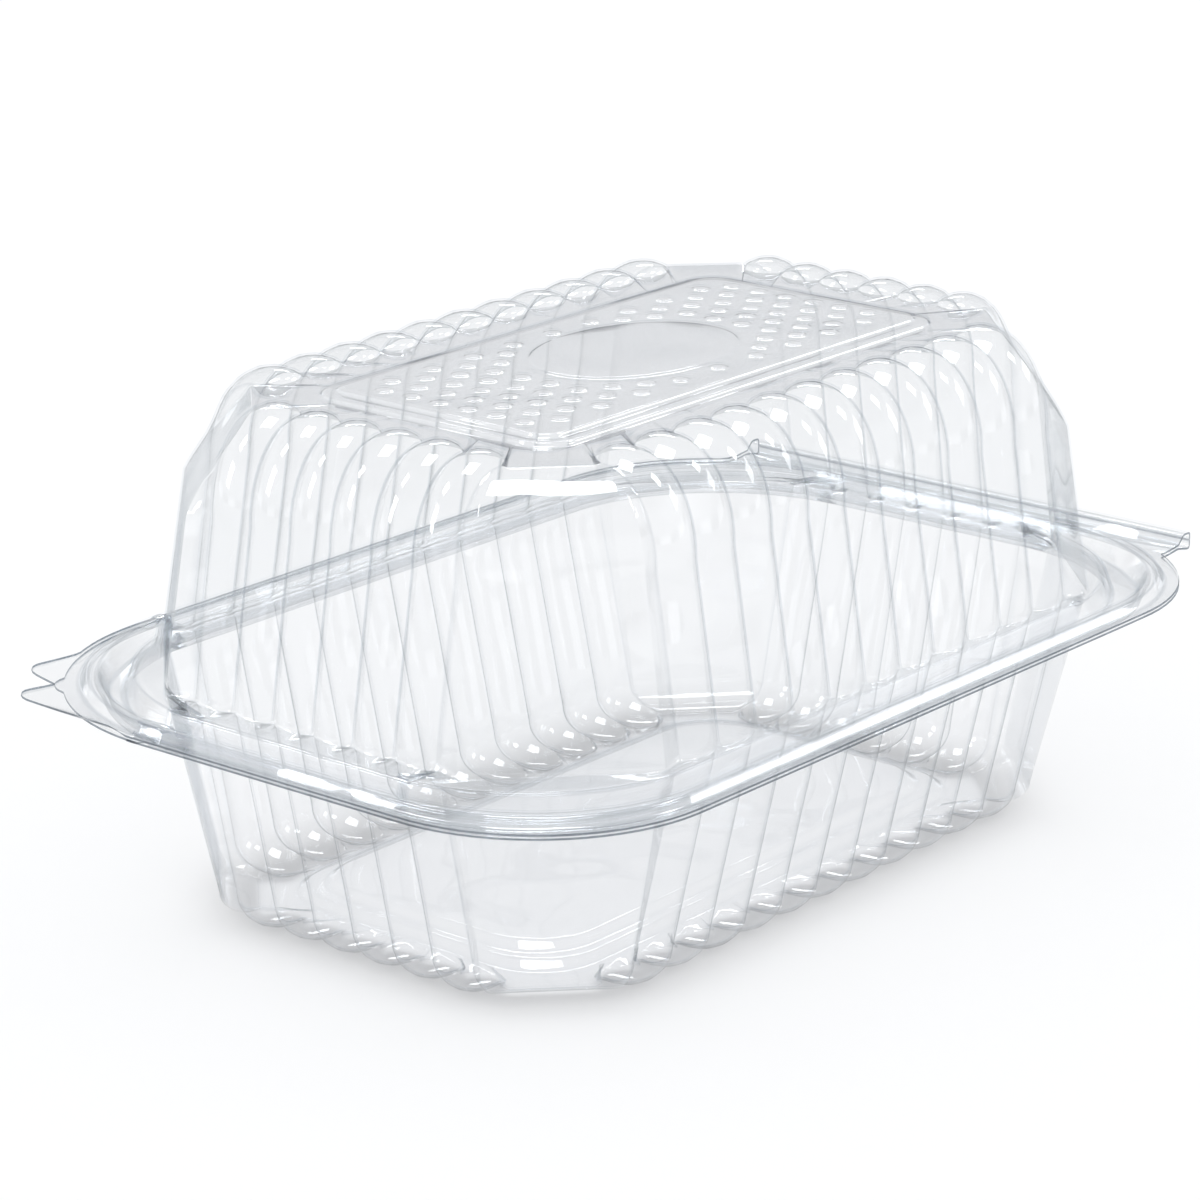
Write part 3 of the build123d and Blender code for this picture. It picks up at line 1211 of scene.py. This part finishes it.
@dataclass(frozen=True)
class Bulbs:
    """How a fluted wall turns into a level face: a rounded shoulder and then finger tips.

    The valleys move in by a share of the tips' reach. So do the corner facets, in two parts: one over
    the shoulder and one over the tips. A facet's flatness says how straight it turns over.
    """

    reach: float
    rise: float
    tip_reach: float = 0.0030
    tip_drop: float = 0.0024
    tip_curl: float = 0.0018
    valley_share: float = 0.3
    facet_shares: tuple[float, float] = (0.1, 0.2)
    flatness: tuple[float, float, float, float] = (0.0, 0.0, 0.0, 0.0)
    turn_steps: int = 12
    tip_steps: int = 6

    def turn(self, start: float, height: float, depth: float, leads: tuple[float, float]) -> list[Station]:
        """Levels of the shoulder and tips.

        Args:
            start: Reach of the wall's valley line where the shoulder starts.
            height: Height there.
            depth: Depth of the flutes on the wall.
            leads: Corner leads at the start and at the tips.

        Returns:
            The levels, from the wall on.
        """
        sign = math.copysign(1, self.rise)
        crest_reach = (1 - self.valley_share) * self.tip_reach + self.tip_curl
        levels = []
        for step in range(self.turn_steps + self.tip_steps + 1):
            share = min(step / self.turn_steps, 1)
            angle = math.pi / 2 * share
            tip = math.pi / 2 * max(step - self.turn_steps, 0) / self.tip_steps
            back = self.reach * (1 - math.cos(angle)) + self.valley_share * self.tip_reach * math.sin(tip)
            up = self.rise * math.sin(angle) - sign * self.tip_drop * (1 - math.cos(tip))
            place = Station(
                reach=start - back,
                height=height + up,
                bulge=depth * math.cos(angle),
                lead=leads[0] + (leads[1] - leads[0]) * math.sin(angle) ** 2,
                sink=sign * depth * math.sin(angle) * math.cos(tip),
                curl=crest_reach * math.sin(tip),
                facets=self.facets(share, math.sin(tip), back, up),
            )
            levels.append(place)
        return levels

    def facets(self, share: float, tip: float, back: float, up: float) -> dict[Corner, tuple[float, float]]:
        """Where the corner facets lie, which turn over in a flatter line than the flutes.

        Args:
            share: How far round the shoulder this level is, 0 to 1.
            tip: How far along the tips it is, 0 to 1.
            back: How far the flutes have moved in.
            up: How far they have risen.

        Returns:
            For each corner, how far its facet lies (outside, above) the flutes.
        """
        on_shoulder, on_tips = self.facet_shares
        rise = self.rise - math.copysign(self.tip_drop, self.rise)
        reach = self.reach + on_shoulder * self.tip_reach
        angle = math.pi / 2 * share
        places = {}
        for corner, flat in zip(Corner, self.flatness):
            run = reach * (flat * share + (1 - flat) * (1 - math.cos(angle)))
            lift = rise * (flat * share + (1 - flat) * math.sin(angle))
            places[corner] = (back - run - on_tips * self.tip_reach * tip, lift - up)
        return places


@dataclass(frozen=True)
class RaisedFace:
    """A level face raised in two steps, one inside the other, with all edges rounded.

    The overlap is how far it reaches out under the tips of the bulbs, and the land is the level
    stretch inside its second step. The corners' radius gets smaller with the inset by the shrink.
    """

    step: float
    run: float
    border: float
    land: float
    corner: float
    corner_shrink: float
    fillet: float
    # Weight of the painted fold shade at the steps' bends.
    fold: float
    least_corner: float = 0.004
    overlap: float = 0.0015

    def lay(
        self,
        skin: FormedSheet,
        half_length: float,
        half_width: float,
        z: float,
        finish: Finish,
    ) -> np.ndarray:
        """Lays the steps down.

        Args:
            skin: The sheet that they join.
            half_length: Half the face's length at the first step.
            half_width: Half its width there.
            z: Height of the sheet's middle before the first step.
            finish: Finish of the steps.

        Returns:
            The last outline.
        """
        points = [(-self.overlap, z)]
        for count in (0, 1):
            inset = count * self.border
            points.append((inset, z + count * self.step))
            points.append((inset + self.run, z + (count + 1) * self.step))
        points.append((self.border + self.land, z + 2 * self.step))
        for inset, height, bend in rounded_line(points, self.fillet):
            corner = max(self.corner - self.corner_shrink * inset, self.least_corner)
            size = (half_length - inset, half_width - inset)
            outline = skin.layout.rounded(*size, (corner,) * 4, fit_sides=True)
            skin.ring(outline, height, finish, fold=bend * self.fold)
        return outline


def thinned(stations: list[Station], distance: float) -> list[Station]:
    """Moves a wall's outer profile in to the middle of its sheet.

    Args:
        stations: Levels of the outer face.
        distance: How far to move them, to the left of their direction.

    Returns:
        The moved levels.
    """
    line = np.array([(place.reach, place.height) for place in stations])
    along = np.gradient(line, axis=0)
    along /= np.linalg.norm(along, axis=1)[:, None]
    moved = line + np.column_stack([-along[:, 1], along[:, 0]]) * distance
    return [
        replace(place, reach=float(reach), height=float(height))
        for place, (reach, height) in zip(stations, moved)
    ]


@dataclass
class Half:
    """One half of the pack: a rim, and a fluted wall that ends in bulbs round a level face.

    The painted fold shade at the valleys is faint at the tips of the bulbs and where they reach out past
    the faint reach, at the wall's foot.
    """

    half_length: float
    half_width: float
    wall: Wall
    bulbs: Bulbs
    face: RaisedFace
    drop: float
    tab: bool
    wall_finish: Finish
    bulb_finish: Finish
    rim_finish: Finish
    tip_lead: float = 0.0015
    faint_fold: float = 0.25
    faint_reach: float = -0.0002
    rim: Rim = Rim()
    layout: Layout = Layout()

    def outline(self, place: Station) -> np.ndarray:
        """Outline of the wall or bulbs at one level."""
        return self.layout.fluted(self.half_length, self.half_width, place)

    def fold_at(self, place: Station) -> float:
        """How sharp the valleys look at a level."""
        # Weight of the painted fold shade at this level's valleys.
        return self.faint_fold if place.curl or place.reach > self.faint_reach else 1.0

    def formed(self) -> tuple[FormedSheet, Station]:
        """Forms the rim, the wall and the bulbs.

        Returns:
            The sheet so far, and its last level.
        """
        skin = FormedSheet(self.layout)
        depth = self.layout.long_row.depth
        foot = self.rim.top + self.rim.step_height - self.drop
        wall = self.wall.levels(foot, depth)
        self.rim.lay(skin, self.drop + SHEET / 2, self.tab, self.outline(wall[0]), self.rim_finish)
        leads = (self.wall.leads[1], self.tip_lead)
        turn = self.bulbs.turn(self.wall.end_reach(foot), self.wall.end, depth, leads)
        levels = thinned(wall + turn, math.copysign(SHEET / 2, self.bulbs.rise))
        for place in levels:
            past_wall = (place.height - self.wall.end) * self.bulbs.rise > 0
            finish = self.bulb_finish if past_wall else self.wall_finish
            skin.ring(self.outline(place), place.height, finish, valleys=self.fold_at(place))
        return skin, levels[-1]


@dataclass
class Lid(Half):
    """Domed lid: rim with the tab, flared foot, fluted wall, bulbs, and the raised label panel.

    The oval's lip is a list of rings (growth, share of the oval's rise, weight of the painted fold shade)
    round its edge. Dimples cover the panel from its edge ring to the oval's foot.
    """

    half_length: float = 0.0925
    half_width: float = 0.0600
    wall: Wall = Wall(end=0.0820, draft=math.radians(9.5), leads=(0.006, 0.005))
    bulbs: Bulbs = Bulbs(0.0125, 0.0205, flatness=(0.9, 0.9, 0.1, 0.9))
    face: RaisedFace = RaisedFace(
        step=0.0008,
        run=0.0004,
        border=0.003,
        land=0.0012,
        corner=0.008,
        corner_shrink=1.0,
        fillet=0.0004,
        fold=0.12,
    )
    drop: float = 0.0
    tab: bool = True
    wall_finish: Finish = Finish.WALL
    bulb_finish: Finish = Finish.WALL
    rim_finish: Finish = Finish.RIM
    top: float = 0.1025
    panel: tuple[float, float] = (0.0615, 0.0300)
    panel_edge: float = 0.998
    dimples: Dimples = Dimples()
    oval: tuple[float, float] = (0.024, 0.017)
    oval_rise: float = 0.0003
    oval_foot: float = 0.0010
    oval_lip: tuple[tuple[float, float, float], ...] = (
        (0.0006, 0.0, 0.0),
        (0.0003, 0.15, 0.3),
        (0.0, 0.8, 0.3),
        (-0.0003, 1.0, 0.0),
    )
    oval_rings: tuple[float, ...] = (0.7, 0.4, 0.15)

    def build(self, finishes: Finishes) -> bpy.types.Object:
        """Makes the lid, with the upper half of the hinge strip.

        Args:
            finishes: The sheet's finishes.

        Returns:
            The lid.
        """
        skin, _ = self.formed()
        self.crown(skin)
        edge = self.rim.half_length
        z = self.rim.top - SHEET / 2
        high = z + self.rim.hinge_rise
        out = edge + HINGE_REACH - SHEET / 2
        points = [(edge, z), (edge + self.rim.hinge_ramp, high), (out, high)]
        self.rim.lay_hinge(skin, points, self.rim_finish)
        return skin.build("lid_shell", "lid", finishes, on_table=False)

    def crown(self, skin: FormedSheet) -> None:
        """Lays the level band, the two steps of the panel, its dimples and the bare oval.

        Args:
            skin: The sheet that they join.
        """
        band = self.top - self.bulbs.tip_drop - SHEET / 2
        last = self.face.lay(skin, *self.panel, band, Finish.CROWN)
        z = band + 2 * self.face.step
        skin.ring(last * self.panel_edge, z, Finish.CROWN)
        length, width = self.oval
        foot = skin.layout.oval(length + self.oval_foot, width + self.oval_foot, last)
        skin.dimple(foot, z, self.dimples, Finish.PANEL)
        for grow, rise, fold in self.oval_lip:
            outline = skin.layout.oval(length + grow, width + grow, last)
            skin.ring(outline, z + self.oval_rise * rise, Finish.CROWN, fold=fold)
        for share in self.oval_rings:
            outline = skin.layout.oval(length * share, width * share, last)
            skin.ring(outline, z + self.oval_rise, Finish.CROWN)
        skin.close(Finish.CROWN)


@dataclass
class Tray(Half):
    """Fluted tray: rim with the nub, drafted wall, rounded feet and a pushed-up floor."""

    half_length: float = 0.0915
    half_width: float = 0.0590
    wall: Wall = Wall(end=0.007, draft=math.radians(13.0), leads=(0.006, 0.003))
    bulbs: Bulbs = Bulbs(0.007, -0.007, tip_drop=0.0012)
    face: RaisedFace = RaisedFace(
        step=0.0016,
        run=0.0016,
        border=0.004,
        land=0.006,
        corner=0.014,
        corner_shrink=0.0,
        fillet=0.0006,
        fold=0.15,
    )
    drop: float = NEST
    tab: bool = False
    wall_finish: Finish = Finish.TRAY_WALL
    bulb_finish: Finish = Finish.TRAY_FOOT
    rim_finish: Finish = Finish.TRAY_RIM
    foot_lift: float = 0.0012
    floor_inset: float = 0.003
    floor_rings: tuple[float, ...] = (0.8, 0.5, 0.2)

    def build(self, finishes: Finishes) -> bpy.types.Object:
        """Makes the tray, with the lower half of the hinge strip.

        Args:
            finishes: The sheet's finishes.

        Returns:
            The tray.
        """
        skin, last = self.formed()
        self.floor(skin, last)
        edge = self.rim.half_length
        z = self.rim.top - self.drop - SHEET / 2
        out = edge + HINGE_REACH - SHEET / 2
        self.rim.lay_hinge(skin, [(edge, z), (out, z)], self.rim_finish)
        return skin.build("tray_shell", "tray", finishes, on_table=True)

    def floor(self, skin: FormedSheet, last: Station) -> None:
        """Lays the pushed-up floor in its two steps.

        Args:
            skin: The sheet that it joins.
            last: Last level of the feet.
        """
        inwards = last.reach - last.curl - self.floor_inset
        low = self.foot_lift + SHEET / 2
        size = (self.half_length + inwards, self.half_width + inwards)
        outline = self.face.lay(skin, *size, low, self.wall_finish)
        for share in self.floor_rings:
            skin.ring(outline * share, low + 2 * self.face.step, self.wall_finish)
        skin.close(self.wall_finish)


@dataclass(frozen=True)
class Softbox:
    """A rectangular soft light that faces the pack."""

    name: str
    place: tuple[float, float, float]
    size: tuple[float, float]
    power: float

    def build(self, target: Vector, lit: bpy.types.Collection) -> None:
        """Hangs the light.

        Args:
            target: What it faces.
            lit: The pieces that it lights, so that the table stays even.
        """
        light = bpy.data.lights.new(self.name, "AREA")
        light.shape = "RECTANGLE"
        light.size, light.size_y = self.size
        light.energy = self.power
        holder = bpy.data.objects.new(self.name, light)
        holder.location = self.place
        facing = (target - Vector(self.place)).to_track_quat("-Z", "Y")
        holder.rotation_euler = facing.to_euler()
        holder.light_linking.receiver_collection = lit
        holder.visible_camera = False
        bpy.context.scene.collection.objects.link(holder)


@dataclass(frozen=True)
class Sky:
    """Even sky, in whose place glossy faces mirror studio walls.

    The walls show upright bands of light and dark near the level of the table, even light above them
    and a dimmer ceiling. The spans are heights of the direction looked in, from 0 level to 1 straight
    up, over which one turns into the next.
    """

    colour: Colour = (0.985, 0.99, 1.0, 1)
    power: float = 1.12
    bands: float = 7.0
    band_edge: tuple[float, float] = (-0.5, 0.5)
    band_powers: tuple[float, float] = (0.35, 1.75)
    wall_power: float = 1.0
    wall_span: tuple[float, float] = (0.06, 0.16)
    ceiling_power: float = 0.62
    ceiling_span: tuple[float, float] = (0.42, 0.60)

    def build(self) -> None:
        """Makes the sky."""
        world = bpy.data.worlds.new("studio_sky")
        world.use_nodes = True
        nodes = NodeTree(world.node_tree)
        seen = world.node_tree.nodes["Background"]
        seen.inputs["Color"].default_value = self.colour
        seen.inputs["Strength"].default_value = self.power
        inputs = {"Color": self.colour, "Strength": self.walls(nodes)}
        mirrored = nodes.add("ShaderNodeBackground", inputs)
        glossy = nodes.add("ShaderNodeLightPath").outputs["Is Glossy Ray"]
        output = world.node_tree.nodes["World Output"].inputs["Surface"]
        world.node_tree.links.new(nodes.mixed(glossy, seen, mirrored), output)
        world.cycles.sampling_method = "NONE"
        bpy.context.scene.world = world

    def walls(self, nodes: NodeTree) -> bpy.types.NodeSocket:
        """Adds how bright the studio walls are in each direction.

        Args:
            nodes: The sky's nodes.

        Returns:
            The brightness.
        """
        looked = nodes.add("ShaderNodeTexCoord").outputs["Generated"]
        x, y, z = nodes.add("ShaderNodeSeparateXYZ", {0: looked}).outputs
        around = nodes.sum("ARCTAN2", y, x)
        wave = nodes.sum("SINE", nodes.sum("MULTIPLY", around, self.bands))
        band = nodes.ease(wave, self.band_edge, self.band_powers)
        wall = nodes.between(nodes.ease(z, self.wall_span), band, self.wall_power)
        return nodes.between(nodes.ease(z, self.ceiling_span), wall, self.ceiling_power)


@dataclass
class Studio:
    """Pale table, even sky, soft lights and the camera at the photograph's angle."""

    table_size: float = 30.0
    table_colour: Colour = (0.915, 0.915, 0.915, 1)
    table_roughness: float = 0.9
    sky: Sky = Sky()
    boxes: tuple[Softbox, ...] = (
        Softbox("overhead", (-0.06, -0.02, 1.15), (0.46, 0.46), 6.5),
        Softbox("high_right", (0.55, -0.62, 0.95), (0.26, 0.26), 2.4),
        Softbox("high_left", (-0.72, 0.55, 0.95), (0.26, 0.26), 2.4),
        Softbox("front_left", (-1.05, 0.72, 0.55), (0.34, 0.40), 4.0),
        Softbox("front_right", (0.954, -0.644, 0.537), (0.42, 0.28), 1.6),
        Softbox("back", (0.95, 0.75, 0.95), (0.55, 0.16), 2.6),
    )
    lit_place: tuple[float, float, float] = (0.0, 0.0, 0.05)
    camera_place: tuple[float, float, float] = (-0.6478, -0.5145, 0.3154)
    camera_yaw: float = 0.6807
    camera_pitch: float = -0.3101
    camera_roll: float = 0.0037
    camera_lens: float = 133.0
    camera_near: float = 0.01
    clear_bounces: int = 48
    table_bounces: int = 1
    gloss_bounces: int = 2
    all_bounces: int = 3

    def build(self, pieces: list[bpy.types.Object]) -> None:
        """Sets the table, the sky, the lights and the camera.

        Args:
            pieces: The pieces that the soft lights light.
        """
        self.table()
        self.sky.build()
        lit = bpy.data.collections.new("lit_pieces")
        for piece in pieces:
            lit.objects.link(piece)
        for box in self.boxes:
            box.build(Vector(self.lit_place), lit)
        self.light_paths()
        self.camera()

    def table(self) -> None:
        """Lays the table top."""
        half = self.table_size / 2
        mesh = bpy.data.meshes.new("table")
        corners = [(-half, -half, 0), (half, -half, 0), (half, half, 0), (-half, half, 0)]
        mesh.from_pydata(corners, [], [(0, 1, 2, 3)])
        table = bpy.data.objects.new("table", mesh)
        bpy.context.scene.collection.objects.link(table)
        material = bpy.data.materials.new("pale_table")
        material.use_nodes = True
        shader = material.node_tree.nodes["Principled BSDF"]
        shader.inputs["Base Color"].default_value = self.table_colour
        shader.inputs["Roughness"].default_value = self.table_roughness
        shader.inputs["Specular IOR Level"].default_value = 0.0
        mesh.materials.append(material)

    def light_paths(self) -> None:
        """Lets light through many layers of sheet, with few mirrorings."""
        scene = bpy.context.scene
        scene.view_settings.view_transform = "Standard"
        scene.cycles.transparent_max_bounces = self.clear_bounces
        scene.cycles.diffuse_bounces = self.table_bounces
        scene.cycles.glossy_bounces = self.gloss_bounces
        scene.cycles.max_bounces = self.all_bounces

    def camera(self) -> None:
        """Sets the camera where the photograph was taken from."""
        lens = bpy.data.cameras.new("photo_camera")
        lens.lens = self.camera_lens
        lens.clip_start = self.camera_near
        holder = bpy.data.objects.new("photo_camera", lens)
        yaw, pitch = self.camera_yaw, self.camera_pitch
        flat = math.cos(pitch)
        forward = Vector((flat * math.cos(yaw), flat * math.sin(yaw), math.sin(pitch)))
        level = forward.cross(Vector((0, 0, 1))).normalized()
        above = level.cross(forward)
        cosine, sine = math.cos(self.camera_roll), math.sin(self.camera_roll)
        right, up = cosine * level + sine * above, cosine * above - sine * level
        turn = Matrix((right, up, -forward)).transposed()
        holder.matrix_world = Matrix.Translation(self.camera_place) @ turn.to_4x4()
        bpy.context.scene.collection.objects.link(holder)
        bpy.context.scene.camera = holder


def main() -> None:
    """Builds the pieces, dresses them and sets the scene."""
    logging.basicConfig(level=logging.INFO, format="%(name)s: %(message)s")
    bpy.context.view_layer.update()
    finishes = Finishes()
    pieces = [Lid().build(finishes), Tray().build(finishes)]
    for piece, node in zip(pieces, ("lid", "tray")):
        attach(piece, node)
        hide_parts(node)
        log.info("%s: %d faces", piece.name, len(piece.data.polygons))
    Studio().build(pieces)


if __name__ == "__main__":
    main()
